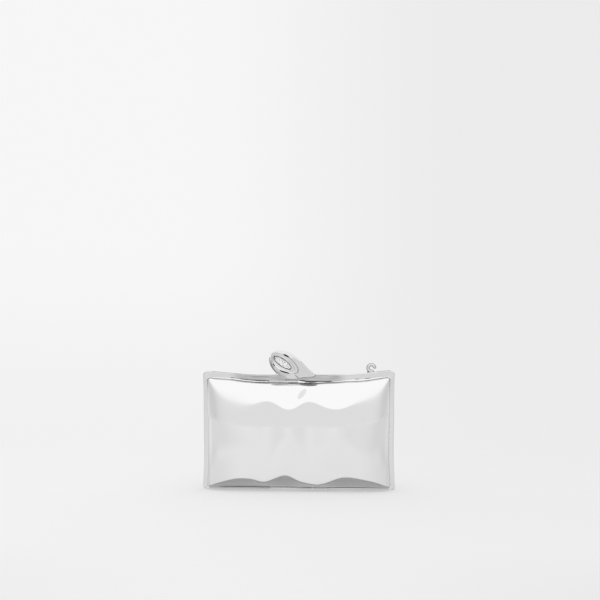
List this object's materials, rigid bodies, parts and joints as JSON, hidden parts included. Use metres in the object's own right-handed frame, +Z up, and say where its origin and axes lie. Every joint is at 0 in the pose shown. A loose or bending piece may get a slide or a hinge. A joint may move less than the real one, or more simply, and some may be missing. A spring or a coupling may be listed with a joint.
{
  "type": "minaudiere",
  "caption": "Mirror-polished metal evening clutch: two pillow shells in hinged half frames, a sculpted ornament that works a concealed hook, and an eyelet for a chain.",
  "frame": {"origin": "middle of the base that the closed clutch stands on", "axes": "+X to the right along the hinge, -Y out of the front, +Z up"},
  "size_m": [0.1898, 0.0466, 0.1367],
  "materials": {
    "silver_plate": "mirror-polished silver plate on brass",
    "frame_plate": "polished, slightly darker plate on cast and rolled brass, with shaded recesses",
    "hammered_silver": "finely hammered silver plate",
    "latch_steel": "brushed steel",
    "suede": "short-napped suede"
  },
  "bodies": {
    "back_half": {"back_frame": "frame_plate", "back_shell": "silver_plate", "back_lining": "suede", "back_knuckle": "frame_plate", "hinge_pin": "latch_steel", "keeper": "latch_steel", "keeper_screws": "latch_steel", "chain_eyelet": "frame_plate", "eyelet_nut": "latch_steel"},
    "front_half": {"front_frame": "frame_plate", "front_shell": "silver_plate", "front_lining": "suede", "front_knuckles": "frame_plate", "pivot_lugs": "latch_steel", "lug_screws": "latch_steel", "pivot_pin": "latch_steel", "clasp_spring": "latch_steel"},
    "clasp": {"clasp_lever": "latch_steel", "lever_screws": "latch_steel", "clasp_ornament": "frame_plate", "clasp_cabochon": "hammered_silver"}
  },
  "joints": [
    {"name": "front_open", "type": "hinge", "parent": "back_half", "child": "front_half", "pos_m": [0, 0, 0.0022], "axis": [1, 0, 0], "range_deg": [0, 45]},
    {"name": "clasp_tilt", "type": "hinge", "parent": "front_half", "child": "clasp", "pos_m": [-0.006, -0.0015, 0.10443], "axis": [1, 0, 0], "range_deg": [0, 8], "stiffness_Nm_per_rad": 0.04, "springref_deg": -22.92, "deforming": ["clasp_spring"]}
  ]
}
